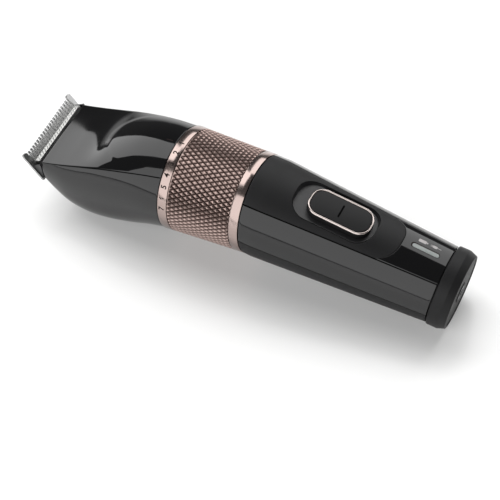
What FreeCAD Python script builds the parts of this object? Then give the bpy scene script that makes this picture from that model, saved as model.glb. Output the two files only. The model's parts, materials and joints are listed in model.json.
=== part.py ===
import FreeCAD, Part
import math
import os

# Cordless hair clipper, lying on its back with the switch side up.
# Millimetres. Row frame: origin under the middle of the clipper on the surface it rests on,
# +X towards the charging socket, +Y across, +Z up (the switch side).
#
# Each group of pieces is drawn in a frame of its own and then placed:
#   ring frame    x along the ring's axis towards the tail, 0 at the ring's front edge
#   handle frame  x along the handle's axis towards the tail, 0 at the ring's rear edge
#   spine frame   lies on the crown line of the handle, 0 under the middle of the switch button
#   blade frame   x from the tooth tips down the fixed blade, z out of its inner face

os.makedirs("parts", exist_ok=True)

V = FreeCAD.Vector
Y_AXIS = V(0, 1, 0)
FAR = 90.0                # reach of cutting tools past the body

# ---------------------------------------------------------------- driving dimensions
RING_LENGTH = 35.4
RING_R_FRONT = 22.0
RING_R_REAR = 20.8
FLANGE_FRONT = 4.0        # plain band that carries the numerals
FLANGE_REAR = 3.9
RING_BORE = 19.9
RING_GAP = 0.3            # air between the head and the ring
REAR_GAP = 0.4            # air between the ring and the handle
RING_TILT = -1.3          # degrees the ring's axis falls towards the tail

SLEEVE_BORE = 18.7        # cam sleeve inside the ring, running on the neck tube
NECK_R = 18.62
NECK_BORE = 16.0
NECK_FRONT = -8.0
NECK_REAR = RING_LENGTH + 0.7
NECK_SPIGOT_R = 16.5
NECK_SPIGOT_BORE = 15.3
NECK_SPIGOT_END = 44.0

CLICKS = 6                # clicks between the first and last setting
CLICK_ANGLE = 360.0 / 28
RING_TURN = CLICKS * CLICK_ANGLE
FOLLOWER_TRAVEL = 1.8     # cam follower, towards the tail

HANDLE_LENGTH = 79.6
HANDLE_R_FRONT = 21.1
HANDLE_R_REAR = 16.0
SHOULDER_R = 20.7         # casings where they meet the ring, round the ring's axis
SHOULDER_LENGTH = 5.0     # run over which they turn into line with the handle
HANDLE_TILT = 7.2         # degrees the handle's axis falls towards the tail
WALL = 1.8
SPINE_FLAT = 0.5          # how far the spine's crown lies below the round
CREASE_FRONT = 40.5       # half angle of the spine at the ring, degrees
CREASE_REAR = 35.1
LOW_SEAM_FRONT = 87.0     # angle from the crown to the seam over the back shell
LOW_SEAM_REAR = 90.0
SEAM = 0.12               # air in the seams between casings
TONGUE_END = 59.9
TONGUE_CORNER = 9.4
TONGUE_HALF = 10.8

CAP_BAND = 4.6
CAP_CHAMFER = 3.1
CAP_R = 16.55
CAP_END_R = 15.5
CAP_WALL = 1.8
CAP_LENGTH = CAP_BAND + CAP_CHAMFER
CAP_LIP_R = 13.5          # spigot of the cap inside the casings

SWITCH_CENTRE = 33.7
RECESS_LENGTH = 34.8
RECESS_WIDTH = 18.0
RECESS_CENTRE = -1.9      # recess centre from the button's centre
RECESS_DEPTH = 3.0
RECESS_CORNER = 7.4
TRAY_FLOOR = 1.1
BUTTON_LENGTH = 26.9
BUTTON_WIDTH = 13.0
BUTTON_CORNER = 5.6
BUTTON_PROUD = 0.5
SWITCH_TRAVEL = 3.5

BLADE_TIP = V(-65.4, 0, -0.1)
BLADE_TILT = 57.0         # fall of the fixed blade from its tips, degrees
BLADE_WIDTH = 37.6
BLADE_LENGTH = 12.8
BLADE_THICK = 1.1
TOOTH_PITCH = 1.66
TOOTH_GAP = 0.80
TOOTH_DEPTH = 3.4
TOOTH_GAPS = 20
TOOTH_REACH = 0.9         # tooth tips ahead of the blade frame's origin
EAR_REACH = 2.0           # rounded end lugs of the fixed blade, ahead of the same place
EAR_R = 1.25
CUTTER_WIDTH = 32.8
CUTTER_THICK = 1.0
CUTTER_LIFT = 1.15        # underside of the moving blade above the fixed blade's outer face
CUTTER_START = 0.0
CUTTER_END = 8.0
BAR_START = 3.3
BAR_END = 5.2
BAR_TOP = 4.6
MOUTH_X = -57.9           # front edge of the head's casings
HEAD_SEAM_ANGLE = 42.6    # from the crown to the seam between the head's two casings
BLADE_SCREW_X = 11.0      # blade screws, down the blade and to each side
BLADE_SCREW_Y = 10.0
CHEEK_START = 4.4         # plates of the bracket at the ends of the moving blade
CHEEK_TOP = 5.4
CHEEK_IN = 17.6
CHEEK_OUT = 18.2

MOTOR_R = 10.2
MOTOR_FRONT = -36.0
MOTOR_REAR = -6.0
MOTOR_Z = -5.0
PIN_R = 0.9
PIN_OFFSET = 1.0
SHAFT_R = 1.0
BUSH_R = 1.5
MAGNET_R = 8.0            # inner radius of the magnets
MOTOR_SCREW_Y = 12.0
MOTOR_SCREW_Z = -13.0
DETENT_X = 31.5           # click plunger, along the ring's axis
DETENT_R = 1.2

CELL_R = 9.1
CELL_LENGTH = 60.0
CELL_START = 11.5
CELL_Z = -4.0
BOARD_Z = 8.4
BOARD_THICK = 1.2
BOARD_WIDTH = 19.0
BOARD_START = 13.0
BOARD_END = 76.8
BOARD_SCREWS = ((20.0, -8.3), (20.0, 8.3), (62.0, -8.3), (62.0, 8.3))

JACK_BORE = 1.75
JACK_DEPTH = 9.5
JACK_NOSE_R = 3.2

# Height adjustment inside the head, in the ring frame and the blade frame
FOLLOWER_X = 20.0
FOLLOWER_PIN_R = 1.2
WINDOW_X = -51.0          # slanted slot of the follower, at the shortest cut
WINDOW_Z = -3.4
PEG_R = 0.9               # peg of the blade guide in that slot
GUIDE_TRAVEL = 1.2        # blade guide and moving blade, away from the tooth tips
GUIDE_TOP = 6.4
STRIP_TOP = 3.4           # top of the blade bracket's strip

# Light strip in the display panel, and the gap between the casings
LED_FRONT = 63.6
LED_REAR = 75.6
LED_Y = 0.8
SEAM_ANGLE = 0.2          # half the width of a casing seam, degrees

FLOOR = 26.2              # depth of the resting surface below the ring's front centre

# Head outline, one row per station from the ring to the mouth: place along the ring's axis,
# half width, height of the widest point, half width and height of the seam, height of the
# crown, depth of the belly, and squareness of the belly (2 is an ellipse).
HEAD_STATIONS = (
    (-RING_GAP, 21.7, 0.0, 14.7, 16.0, 21.7, -21.7, 2.0),
    (-9.0, 21.7, -1.2, 15.6, 14.9, 20.6, -23.0, 2.2),
    (-18.0, 21.6, -3.2, 16.2, 13.0, 18.2, -24.4, 2.6),
    (-29.0, 21.5, -5.8, 16.5, 10.1, 13.2, -25.6, 3.0),
    (-38.0, 21.2, -7.6, 16.6, 7.2, 7.8, -26.2, 3.0),
    (-47.0, 20.4, -8.2, 16.9, 4.2, 4.5, -24.2, 2.9),
    (-54.0, 19.0, -7.0, 17.1, 2.1, 2.3, -18.6, 2.8),
    (-59.4, 17.9, -4.5, 17.2, 0.7, 0.9, -9.8, 2.8),
)


# ---------------------------------------------------------------- plain solids
def box(x0, x1, y0, y1, z0, z1):
    return Part.makeBox(x1 - x0, y1 - y0, z1 - z0, V(x0, y0, z0))


def wide_box(x0, x1, half, z0, z1):
    return box(x0, x1, -half, half, z0, z1)


def side_boxes(x0, x1, inner, outer, z0, z1):
    """Two boxes from inner to outer, one to each side of the middle."""
    return [box(x0, x1, inner, outer, z0, z1), box(x0, x1, -outer, -inner, z0, z1)]


def rod(r, x0, x1, y=0.0, z=0.0):
    return Part.makeCylinder(r, x1 - x0, V(x0, y, z), V(1, 0, 0))


def rod_across(r, y0, y1, x, z):
    return Part.makeCylinder(r, y1 - y0, V(x, y0, z), V(0, 1, 0))


def rod_up(r, z0, z1, x, y):
    return Part.makeCylinder(r, z1 - z0, V(x, y, z0), V(0, 0, 1))


def tube(r_out, r_in, x0, x1):
    return rod(r_out, x0, x1).cut(rod(r_in, x0 - 1, x1 + 1))


def turned(points):
    """Solid turned about the x axis from an outline of (x, radius) points."""
    outline = Part.makePolygon([V(x, 0, r) for x, r in points + points[:1]])
    return Part.Face(outline).revolve(V(0, 0, 0), V(1, 0, 0), 360)


def plate(x0, x1, half, corner, z0, z1):
    """Flat plate with its four upright edges rounded."""
    blank = wide_box(x0, x1, half, z0, z1)
    upright = [e for e in blank.Edges if abs(e.tangentAt(e.FirstParameter).z) > 0.9]
    return blank.makeFillet(corner, upright)


def prism_across(points, half):
    """Side outline of (x, z) points, pushed across from -half to +half."""
    outline = Part.makePolygon([V(x, -half, z) for x, z in points + points[:1]])
    return Part.Face(outline).extrude(V(0, 2 * half, 0))


def coil(r, wire_r, length, pitch):
    """Coil spring along z, from z = 0."""
    path = Part.makeHelix(pitch, length, r)
    section = Part.Wire(Part.makeCircle(wire_r, V(r, 0, 0), V(0, 1, 0)))
    return Part.Wire(path.Edges).makePipeShell([section], True, True)


def joined(shapes):
    whole = shapes[0]
    for shape in shapes[1:]:
        whole = whole.fuse(shape)
    return whole.removeSplitter()


def cut_all(shape, tools):
    for tool in tools:
        shape = shape.cut(tool)
    return shape


# ---------------------------------------------------------------- frames
def along(tilt):
    """Unit vector that falls by tilt degrees towards the tail."""
    return V(math.cos(math.radians(tilt)), 0, -math.sin(math.radians(tilt)))


def frame_at(origin, tilt):
    return FreeCAD.Placement(origin, FreeCAD.Rotation(Y_AXIS, tilt))


RING_REAR = along(RING_TILT) * RING_LENGTH
HANDLE_END = RING_REAR + along(HANDLE_TILT) * (HANDLE_LENGTH + CAP_LENGTH)
TAPER = math.degrees(math.atan2(HANDLE_R_FRONT - HANDLE_R_REAR, HANDLE_LENGTH))
TAIL_X = HANDLE_END.x + CAP_END_R * math.sin(math.radians(HANDLE_TILT))
EAR_X = BLADE_TIP.x - EAR_REACH * math.cos(math.radians(BLADE_TILT))
SHIFT = V(-(EAR_X + TAIL_X) / 2, 0, FLOOR)


def handle_radius(x):
    return HANDLE_R_FRONT + (HANDLE_R_REAR - HANDLE_R_FRONT) * x / HANDLE_LENGTH


def crown(x):
    return handle_radius(x) - SPINE_FLAT


RING_FRAME = frame_at(SHIFT, RING_TILT)
HANDLE_FRAME = frame_at(SHIFT + RING_REAR, HANDLE_TILT)
SPINE_FRAME = HANDLE_FRAME.multiply(frame_at(V(SWITCH_CENTRE, 0, crown(SWITCH_CENTRE)), TAPER))
BLADE_FRAME = frame_at(SHIFT + BLADE_TIP, BLADE_TILT)


def placed(shape, frame):
    moved = shape.copy()
    moved.transformShape(frame.toMatrix(), True)
    return moved


# ---------------------------------------------------------------- head casings
def head_wire(station, inset):
    """Closed section: an arched front edge from seam to seam, then the sides and belly."""
    x, half, mid, seam_y, seam_z, top, belly, square = station
    half = half - inset
    seam_y = seam_y - inset
    seam_z = seam_z - inset
    top = top - inset
    belly = belly + inset
    seam_angle = math.radians(HEAD_SEAM_ANGLE)
    bulge = math.log(seam_y / half) / math.log(math.sin(seam_angle))
    side = []
    for k in range(5):
        a = seam_angle + (math.pi / 2 - seam_angle) * k / 4
        z = mid + (seam_z - mid) * math.cos(a) / math.cos(seam_angle)
        side.append(V(x, half * math.sin(a) ** bulge, z))
    for k in range(1, 9):
        a = math.pi / 2 * k / 8
        y = half * max(math.cos(a), 0.0) ** (2 / square)
        side.append(V(x, y, mid + (belly - mid) * math.sin(a) ** (2 / square)))
    mirror = [V(x, -p.y, p.z) for p in reversed(side[:-1])]
    low = Part.BSplineCurve()
    low.interpolate(side + mirror)
    front = Part.BSplineCurve()
    arch = []
    for k in range(-3, 4):
        a = seam_angle * k / 3
        rise = (math.cos(a) - math.cos(seam_angle)) / (1 - math.cos(seam_angle))
        arch.append(V(x, seam_y * math.sin(a) / math.sin(seam_angle), seam_z + (top - seam_z) * rise))
    front.interpolate(arch)
    return Part.Wire([front.toShape(), low.toShape()])


def head_body(inset):
    return Part.makeLoft([head_wire(station, inset) for station in HEAD_STATIONS], True, False)


def lid_region(grow):
    """Space over the front casing, bounded by its two side seams."""
    wires = []
    for x, half, mid, seam_y, seam_z, top, belly, square in HEAD_STATIONS:
        edge = seam_y - 0.25 + grow
        low = seam_z - WALL - 1.4 - grow
        corners = [V(x, -edge, low), V(x, edge, low), V(x, edge, 40), V(x, -edge, 40)]
        wires.append(Part.makePolygon(corners + corners[:1]))
    region = Part.makeLoft([wires[0], wires[1]], True, True)
    for first, second in zip(wires[1:], wires[2:]):
        region = region.fuse(Part.makeLoft([first, second], True, True))
    return region


def below_floor():
    return box(-200, 200, -FAR, FAR, -FAR, 0)


def ahead_of_mouth(gap):
    return box(-200, MOUTH_X + SHIFT.x + gap, -FAR, FAR, -FAR, FAR)


def head_shell():
    """Hollow head, bored out at its rear for the neck tube."""
    return head_body(0).cut(head_body(WALL).fuse(rod(19.75, -6, 1)))


def head_casings():
    whole = head_shell()
    front = whole.common(lid_region(0))
    rear = whole.cut(lid_region(SEAM))
    trimmed = []
    for casing in (front, rear):
        trimmed.append(placed(casing, RING_FRAME).cut(ahead_of_mouth(0)))
    blade_room = placed(bracket_blank(0.15), BLADE_FRAME)
    return trimmed[0], cut_all(trimmed[1], [below_floor(), blade_room])


# ---------------------------------------------------------------- ring and neck
def ring_radius(x):
    return RING_R_FRONT + (RING_R_REAR - RING_R_FRONT) * x / RING_LENGTH


def adjuster_ring():
    groove = 0.35
    depth = 0.3
    first = FLANGE_FRONT
    last = RING_LENGTH - FLANGE_REAR
    outline = [(0, RING_BORE), (0, ring_radius(0) - 0.3), (0.3, ring_radius(0.3))]
    for at in (first, last - groove):
        outline += [(at, ring_radius(at)), (at, ring_radius(at) - depth)]
        outline += [(at + groove, ring_radius(at) - depth), (at + groove, ring_radius(at + groove))]
    outline += [(RING_LENGTH - 0.3, ring_radius(RING_LENGTH)), (RING_LENGTH, ring_radius(RING_LENGTH) - 0.3)]
    outline += [(RING_LENGTH, RING_BORE)]
    return turned(outline)


def cam_sleeve():
    """Plastic sleeve pressed into the ring: a rising slot for the follower and click grooves."""
    body = tube(RING_BORE, SLEEVE_BORE, 0.4, RING_LENGTH - 0.4)
    steps = 28
    for k in range(-1, steps + 2):
        share = k / steps
        peg = rod_across(FOLLOWER_PIN_R + 0.2, SLEEVE_BORE - 1, RING_BORE + 1, 0, 0)
        peg.translate(V(FOLLOWER_X + FOLLOWER_TRAVEL * min(max(share, 0), 1), 0, 0))
        peg.rotate(V(0, 0, 0), V(1, 0, 0), RING_TURN * share)
        body = body.cut(peg)
    for k in range(CLICKS + 1):
        groove = rod(0.9, 29.0, 34.0, 0, -SLEEVE_BORE - 0.45)
        groove.rotate(V(0, 0, 0), V(1, 0, 0), CLICK_ANGLE * k)
        body = body.cut(groove)
    return body


def neck_tube():
    body = joined([
        rod(NECK_R, NECK_FRONT, NECK_REAR),
        rod(NECK_SPIGOT_R, 30.0, NECK_SPIGOT_END),
    ])
    slot = box(FOLLOWER_X - 1.6, FOLLOWER_X + FOLLOWER_TRAVEL + 1.6, 10, 22, -1.35, 1.35)
    return cut_all(body, [
        rod(NECK_BORE, NECK_FRONT - 1, 30.0),
        rod(NECK_SPIGOT_BORE, 29.0, NECK_SPIGOT_END + 1),
        slot,
        rod_up(DETENT_R + 0.1, -22, -10, DETENT_X, 0),
    ])


def detent_plunger():
    """Round-nosed pin in the neck tube, drawn pressed in, level with the tube."""
    nose = Part.makeSphere(DETENT_R, V(DETENT_X, 0, -NECK_R + DETENT_R))
    return nose.fuse(rod_up(DETENT_R, -NECK_R + DETENT_R, -15.9, DETENT_X, 0))


def detent_spring():
    spring = coil(0.85, 0.16, 2.6, 0.62)
    spring.translate(V(DETENT_X, 0, -15.6))
    return spring


def detent_clip():
    """Strap inside the neck that backs the click spring."""
    front = DETENT_X - 3.0
    rear = DETENT_X + 3.0
    strap = wide_box(front, rear, 4.0, -12.6, -11.6)
    return joined([strap] + side_boxes(front, rear, 3.5, 4.5, -14.6, -11.6))


# ---------------------------------------------------------------- adjuster inside the head
def slanted_slot():
    """Slot that turns the follower's travel into the guide's slide down the blade."""
    drop = math.radians(BLADE_TILT - RING_TILT)
    end_x = WINDOW_X + GUIDE_TRAVEL * math.cos(drop) - FOLLOWER_TRAVEL
    end_z = WINDOW_Z - GUIDE_TRAVEL * math.sin(drop)
    run = math.hypot(end_x - WINDOW_X, end_z - WINDOW_Z)
    half = PEG_R + 0.08
    across_x = -(end_z - WINDOW_Z) / run * half
    across_z = (end_x - WINDOW_X) / run * half
    corners = [
        (WINDOW_X + across_x, WINDOW_Z + across_z),
        (end_x + across_x, end_z + across_z),
        (end_x - across_x, end_z - across_z),
        (WINDOW_X - across_x, WINDOW_Z - across_z),
    ]
    middle = prism_across(corners, 20)
    return [middle, rod_across(half, 0, 20, WINDOW_X, WINDOW_Z), rod_across(half, 0, 20, end_x, end_z)]


def cam_follower():
    """Rod along the far side, with a pin into the cam slot and a slanted slot round the guide's peg."""
    bar = box(-30.0, FOLLOWER_X + 2.2, 12.5, 14.4, -3.6, 1.4)
    head = box(WINDOW_X - 3.2, -27.0, 12.5, 14.4, WINDOW_Z - 3.0, -0.9)
    pin = rod_across(FOLLOWER_PIN_R, 14.0, RING_BORE - 0.35, FOLLOWER_X, 0)
    return cut_all(joined([bar, head, pin]), slanted_slot())


def blade_guide():
    """Plastic bar that presses on the moving blade, with a peg for the follower (blade frame)."""
    bar = wide_box(5.5, 8.2, 14.0, CUTTER_LIFT + CUTTER_THICK + 0.05, 4.5)
    opening = wide_box(5.0, 9.0, 3.9, 1.0, 6.0)
    rails = side_boxes(6.8, 8.2, 8.6, 11.8, 4.0, GUIDE_TOP)
    bridge = wide_box(6.8, 8.2, 10.2, GUIDE_TOP - 1.0, GUIDE_TOP)
    return joined([bar.cut(opening), bridge] + rails)


def guide_arm():
    """Arm from the guide back to its peg (ring frame)."""
    arm = box(-57.4, WINDOW_X + 1.1, 10.2, 12.0, WINDOW_Z - 1.1, WINDOW_Z + 1.1)
    return arm.fuse(rod_across(PEG_R, 11.5, 15.2, WINDOW_X, WINDOW_Z))


def whole_guide():
    return placed(blade_guide(), BLADE_FRAME).fuse(placed(guide_arm(), RING_FRAME)).removeSplitter()


def blade_spring():
    """Leaf spring over the guide, bowed at its ends, that presses it onto the moving blade."""
    leaf = wide_box(6.9, 7.9, 12.4, GUIDE_TOP + 0.02, GUIDE_TOP + 0.32)
    return joined([leaf] + side_boxes(6.9, 7.9, 12.1, 12.4, 4.55, GUIDE_TOP + 0.32))


# ---------------------------------------------------------------- blades (blade frame)
def tooth_gap(x_tip, x_root, width, y, z0, z1):
    """One gap between teeth, open at the tips and narrow at the root."""
    half = width / 2
    root = half * 0.62
    points = [V(x_tip, y - half, z0), V(x_root, y - root, z0),
              V(x_root, y + root, z0), V(x_tip, y + half, z0)]
    return Part.Face(Part.makePolygon(points + points[:1])).extrude(V(0, 0, z1 - z0))


def gap_places(count, pitch):
    return [(k - (count - 1) / 2) * pitch for k in range(count)]


def ear(y):
    """Round-ended lug at one end of the fixed blade, full thickness."""
    middle = EAR_R - EAR_REACH
    land = box(middle, 4.0, y - EAR_R, y + EAR_R, 0, BLADE_THICK)
    return land.fuse(rod_up(EAR_R, 0, BLADE_THICK, middle, y))


def fixed_blade():
    half = BLADE_WIDTH / 2
    blank = plate(-TOOTH_REACH, BLADE_LENGTH, half, 0.9, 0, BLADE_THICK)
    bevel = prism_across([(-2, 0.5), (-2, 3), (3.2, 3), (3.2, BLADE_THICK)], 40)
    gaps = [tooth_gap(-2, TOOTH_DEPTH, TOOTH_GAP, y, -1, 3) for y in gap_places(TOOTH_GAPS, TOOTH_PITCH)]
    holes = [rod_up(1.1, -1, 3, BLADE_SCREW_X, y) for y in (-BLADE_SCREW_Y, BLADE_SCREW_Y)]
    shaped = joined([cut_all(blank, [bevel] + gaps + holes)] + [ear(y) for y in (EAR_R - half, half - EAR_R)])
    return placed(shaped, BLADE_FRAME).common(ahead_of_mouth(-0.25))


def moving_blade():
    half = CUTTER_WIDTH / 2
    low = CUTTER_LIFT
    sheet = wide_box(CUTTER_START, CUTTER_END, half, low, low + CUTTER_THICK)
    bevel = prism_across([(-1, low + 0.3), (-1, 5), (3.0, 5), (3.0, low + CUTTER_THICK)], 40)
    gaps = [tooth_gap(-1, TOOTH_DEPTH - 0.2, TOOTH_GAP * 1.1, y, 0, 4)
            for y in gap_places(TOOTH_GAPS, TOOTH_PITCH)]
    toothed = cut_all(sheet, [bevel] + gaps)
    bar = prism_across([(BAR_START, low + 0.5), (BAR_START + 0.35, BAR_TOP), (BAR_END, BAR_TOP),
                        (BAR_END, low + 0.5)], half)
    return toothed.fuse(bar).removeSplitter()


def blade_driver():
    """Plastic fork on the moving blade; its slot is held open for the eccentric pin."""
    foot = placed(wide_box(BAR_END, CUTTER_END + 1.4, 2.6, CUTTER_LIFT + CUTTER_THICK, 4.9), BLADE_FRAME)
    stem = wide_box(-58.6, -47.5, 2.2, -5.4, -3.2)
    yoke = wide_box(-48.5, -46.3, 4.9, -8.8, -1.2)
    slot_half = PIN_R + 2 * PIN_OFFSET + 0.15
    prongs = side_boxes(-46.5, -41.2, slot_half, 4.9, -8.8, -1.2)
    stem = placed(stem, RING_FRAME).cut(placed(wide_box(-5, 20, 30, -5, 3.0), BLADE_FRAME))
    rear = placed(joined([yoke] + prongs), RING_FRAME)
    return joined([foot, stem, rear])


def bracket_blank(grow):
    """Strip behind the fixed blade that reaches into the head's mouth (blade frame)."""
    return wide_box(9.6 - grow, 13.6 + grow, 15.0 + grow, BLADE_THICK + 0.02 - grow, STRIP_TOP + grow)


def blade_bracket():
    """Plastic holder of the fixed blade, open in the middle for the driver."""
    low = BLADE_THICK + 0.02
    wide = wide_box(9.6, 12.8, CHEEK_OUT, low, STRIP_TOP)
    cheeks = side_boxes(CHEEK_START, 9.8, CHEEK_IN, CHEEK_OUT, low, CHEEK_TOP)
    room = wide_box(9.0, 12.4, 3.8, 0, 6)
    holes = [room] + [rod_up(0.9, 0, 6, BLADE_SCREW_X, y) for y in (-BLADE_SCREW_Y, BLADE_SCREW_Y)]
    outer = placed(joined([wide] + cheeks), BLADE_FRAME).common(ahead_of_mouth(-0.12))
    inner = placed(bracket_blank(0), BLADE_FRAME)
    return cut_all(outer.fuse(inner).removeSplitter(), [placed(hole, BLADE_FRAME) for hole in holes])


def blade_screws():
    screws = []
    x = BLADE_SCREW_X
    for y in (-BLADE_SCREW_Y, BLADE_SCREW_Y):
        head = rod_up(1.9, -0.75, 0, x, y)
        slot = box(x - 2, x + 2, y - 0.25, y + 0.25, -0.9, -0.4)
        screws.append(head.cut(slot).fuse(rod_up(0.88, -0.1, STRIP_TOP - 0.2, x, y)))
    return Part.makeCompound(screws)


# ---------------------------------------------------------------- motor (ring frame)
def motor_can():
    body = rod(MOTOR_R, MOTOR_FRONT, MOTOR_REAR - 3.0, 0, MOTOR_Z)
    boss = rod(3.2, MOTOR_FRONT - 1.0, MOTOR_FRONT, 0, MOTOR_Z)
    core = rod(MOTOR_R - 1.0, MOTOR_FRONT + 1.2, MOTOR_REAR, 0, MOTOR_Z)
    return joined([body, boss]).cut(core).cut(rod(BUSH_R, MOTOR_FRONT - 3, MOTOR_REAR, 0, MOTOR_Z))


def motor_end_bell():
    cap = rod(MOTOR_R, MOTOR_REAR - 3.0, MOTOR_REAR, 0, MOTOR_Z)
    tabs = [box(MOTOR_REAR, MOTOR_REAR + 2.5, y - 0.3, y + 0.3, MOTOR_Z + 3, MOTOR_Z + 5) for y in (-5, 5)]
    return cap.cut(rod(BUSH_R, MOTOR_REAR - 4, MOTOR_REAR - 1.2, 0, MOTOR_Z)).fuse(joined(tabs))


def motor_bushes():
    places = ((MOTOR_FRONT - 0.9, MOTOR_FRONT + 1.1), (MOTOR_REAR - 2.9, MOTOR_REAR - 1.3))
    bore = rod(SHAFT_R + 0.04, MOTOR_FRONT - 2, MOTOR_REAR, 0, MOTOR_Z)
    return Part.makeCompound([rod(BUSH_R, a, b, 0, MOTOR_Z).cut(bore) for a, b in places])


def motor_shaft():
    return rod(SHAFT_R, MOTOR_FRONT - 3.6, MOTOR_REAR - 1.5, 0, MOTOR_Z)


def motor_armature():
    body = rod(7.6, MOTOR_FRONT + 3, MOTOR_REAR - 7, 0, MOTOR_Z)
    commutator = rod(2.8, MOTOR_REAR - 7, MOTOR_REAR - 3.2, 0, MOTOR_Z)
    slots = []
    for k in range(3):
        slot = box(MOTOR_FRONT + 2, MOTOR_REAR - 6, -0.8, 0.8, 4.2, 9)
        slot.rotate(V(0, 0, 0), V(1, 0, 0), 120 * k)
        slot.translate(V(0, 0, MOTOR_Z))
        slots.append(slot)
    bore = rod(SHAFT_R, MOTOR_FRONT, MOTOR_REAR, 0, MOTOR_Z)
    return cut_all(joined([body, commutator]), slots + [bore])


def eccentric():
    disc = rod(3.6, MOTOR_FRONT - 4.0, MOTOR_FRONT - 1.3, 0, MOTOR_Z)
    return disc.cut(rod(SHAFT_R, MOTOR_FRONT - 3.6, MOTOR_FRONT, 0, MOTOR_Z))


def eccentric_pin():
    return rod(PIN_R, MOTOR_FRONT - 9.4, MOTOR_FRONT - 4.0, 0, MOTOR_Z + PIN_OFFSET)


def motor_magnets():
    """Two arcs of magnet inside the can."""
    ring = rod(MOTOR_R - 1.0, MOTOR_FRONT + 3, MOTOR_REAR - 7, 0, MOTOR_Z)
    ring = ring.cut(rod(MAGNET_R, MOTOR_FRONT, MOTOR_REAR, 0, MOTOR_Z))
    keep = side_boxes(MOTOR_FRONT, MOTOR_REAR, 2, 12, MOTOR_Z - 7, MOTOR_Z + 7)
    return Part.makeCompound([ring.common(side) for side in keep])


def motor_bracket():
    """Cradle plate that holds the motor's nose in the head."""
    web = wide_box(-33.0, -29.0, 17.0, -16.0, 3.0)
    collar = rod(MOTOR_R + 1.6, -34.5, -27.5, 0, MOTOR_Z)
    room = box(-40, -20, 11.9, 19.0, -6.9, 5.0)
    holes = [rod(0.9, -40, -20, y, MOTOR_SCREW_Z) for y in (-MOTOR_SCREW_Y, MOTOR_SCREW_Y)]
    return cut_all(joined([web, collar]), [rod(MOTOR_R, -40, -20, 0, MOTOR_Z), room] + holes)


def motor_screws():
    screws = []
    for y in (-MOTOR_SCREW_Y, MOTOR_SCREW_Y):
        head = rod(1.7, -34.3, -33.0, y, MOTOR_SCREW_Z)
        screws.append(head.fuse(rod(0.88, -33.5, -27.0, y, MOTOR_SCREW_Z)))
    return Part.makeCompound(screws)


def motor_wires():
    """Two leads from the motor's tabs to the circuit board (row frame)."""
    wires = []
    for y in (-5, 5):
        start = RING_FRAME.multVec(V(MOTOR_REAR + 2.8, y, MOTOR_Z + 4))
        end = HANDLE_FRAME.multVec(V(14.0, y, BOARD_Z - 0.7))
        wires.append(Part.makeCylinder(0.6, (end - start).Length, start, end - start))
    return Part.makeCompound(wires)


# ---------------------------------------------------------------- handle casings (handle frame)
def crease_angle(x):
    return CREASE_FRONT + (CREASE_REAR - CREASE_FRONT) * x / HANDLE_LENGTH


def low_seam_angle(x):
    return LOW_SEAM_FRONT + (LOW_SEAM_REAR - LOW_SEAM_FRONT) * x / HANDLE_LENGTH


def handle_wire(x, inset):
    r = handle_radius(x) - inset
    a = math.radians(crease_angle(x))
    left = V(x, -r * math.sin(a), r * math.cos(a))
    right = V(x, r * math.sin(a), r * math.cos(a))
    spine = Part.Arc(left, V(x, 0, r - SPINE_FLAT), right)
    back = Part.Arc(right, V(x, 0, -r), left)
    return Part.Wire([spine.toShape(), back.toShape()])


def shoulder_wire(inset, reach):
    """Front edge of the casings: round the ring's axis and parallel to the ring's rear face."""
    x = RING_LENGTH + REAR_GAP - reach
    r = SHOULDER_R - inset
    a = math.radians(CREASE_FRONT)
    left = V(x, -r * math.sin(a), r * math.cos(a))
    right = V(x, r * math.sin(a), r * math.cos(a))
    spine = Part.Arc(left, V(x, 0, r), right)
    back = Part.Arc(right, V(x, 0, -r), left)
    return placed(Part.Wire([spine.toShape(), back.toShape()]), HANDLE_FRAME.inverse().multiply(RING_FRAME))


def handle_body(inset, reach=0.0):
    """Outer form of the casings, or the room inside them, both past their ends by reach."""
    wires = [shoulder_wire(inset, reach), handle_wire(SHOULDER_LENGTH, inset),
             handle_wire(HANDLE_LENGTH + reach, inset)]
    return Part.makeLoft(wires, True, True)


def handle_shell():
    return handle_body(0).cut(handle_body(WALL, 1.0))


def wedge(first_angle, last_angle):
    """Sector of the handle between two angle rules, each a function of x in degrees."""
    wires = []
    for x in (-8.0, HANDLE_LENGTH + 1):
        first = first_angle(x)
        last = last_angle(x)
        points = [V(x, 0, 0)]
        for k in range(4):
            a = math.radians(first + (last - first) * k / 3)
            points.append(V(x, FAR * math.sin(a), FAR * math.cos(a)))
        wires.append(Part.makePolygon(points + points[:1]))
    return Part.makeLoft(wires, True, True)


def spine_wedge():
    return wedge(lambda x: -crease_angle(x) + SEAM_ANGLE, lambda x: crease_angle(x) - SEAM_ANGLE)


def side_wedge(side):
    return wedge(lambda x: side * (crease_angle(x) + SEAM_ANGLE),
                 lambda x: side * (low_seam_angle(x) - SEAM_ANGLE))


def back_wedge():
    return wedge(lambda x: low_seam_angle(x) + SEAM_ANGLE, lambda x: 360 - low_seam_angle(x) - SEAM_ANGLE)


def tongue_region(grow):
    """Top view of the spine: full width, then one round-cornered end."""
    end = plate(-60.0, TONGUE_END + grow, TONGUE_HALF + grow, TONGUE_CORNER, 0, 40)
    return end.fuse(box(-60, TONGUE_END - TONGUE_CORNER, -FAR, FAR, 0, 40))


def recess_region(grow, z0, z1):
    half = RECESS_LENGTH / 2 + grow
    shape = plate(-half, half, RECESS_WIDTH / 2 + grow, RECESS_CORNER + grow, z0, z1)
    shape.translate(V(RECESS_CENTRE, 0, 0))
    return shape


def spine_panel():
    panel = placed(handle_shell().common(spine_wedge()).common(tongue_region(0)), HANDLE_FRAME)
    return panel.cut(placed(recess_region(0, -9, 9), SPINE_FRAME))


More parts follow.
